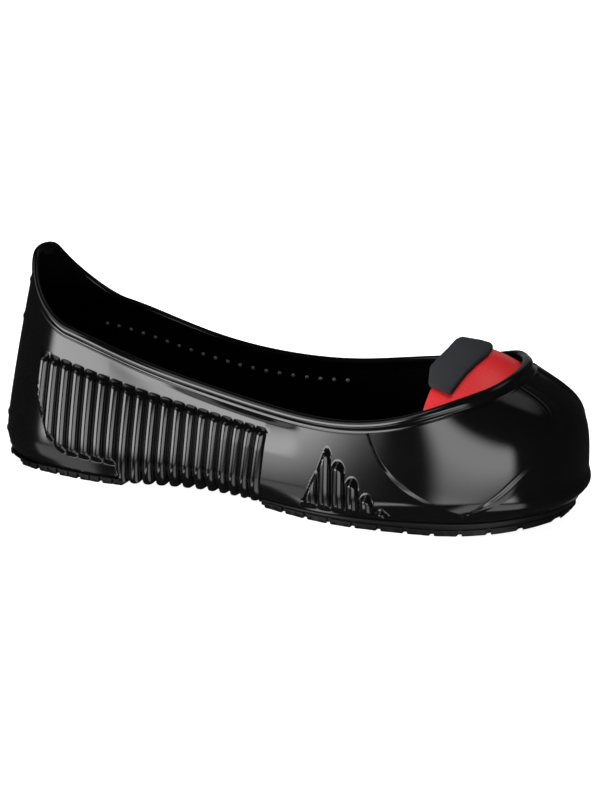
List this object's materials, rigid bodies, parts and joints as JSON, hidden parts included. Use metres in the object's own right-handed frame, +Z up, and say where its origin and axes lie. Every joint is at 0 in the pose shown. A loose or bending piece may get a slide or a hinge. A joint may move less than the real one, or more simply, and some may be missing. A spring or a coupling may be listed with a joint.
{
  "type": "overshoe",
  "caption": "Slip-on rubber overshoe with ribbed sides, a lugged sole, a raised heel tab and a hard toe cap that stands in its open throat under an edge guard",
  "frame": {"origin": "centre of the bounding box, on the floor under the sole", "axes": "+X from the heel to the toe, +Y to the outer side of the foot, +Z up"},
  "size_m": [0.293, 0.1076, 0.1022],
  "materials": {
    "upper": "glossy moulded rubber",
    "outsole": "satin moulded rubber",
    "insole": "matte lining fabric",
    "toe_cap": "glossy moulded plastic",
    "toe_cap_guard": "matte soft edge strip"
  },
  "bodies": {
    "root": {"upper": "upper", "outsole": "outsole", "insole": "insole", "toe_cap": "toe_cap", "toe_cap_guard": "toe_cap_guard"}
  },
  "joints": []
}
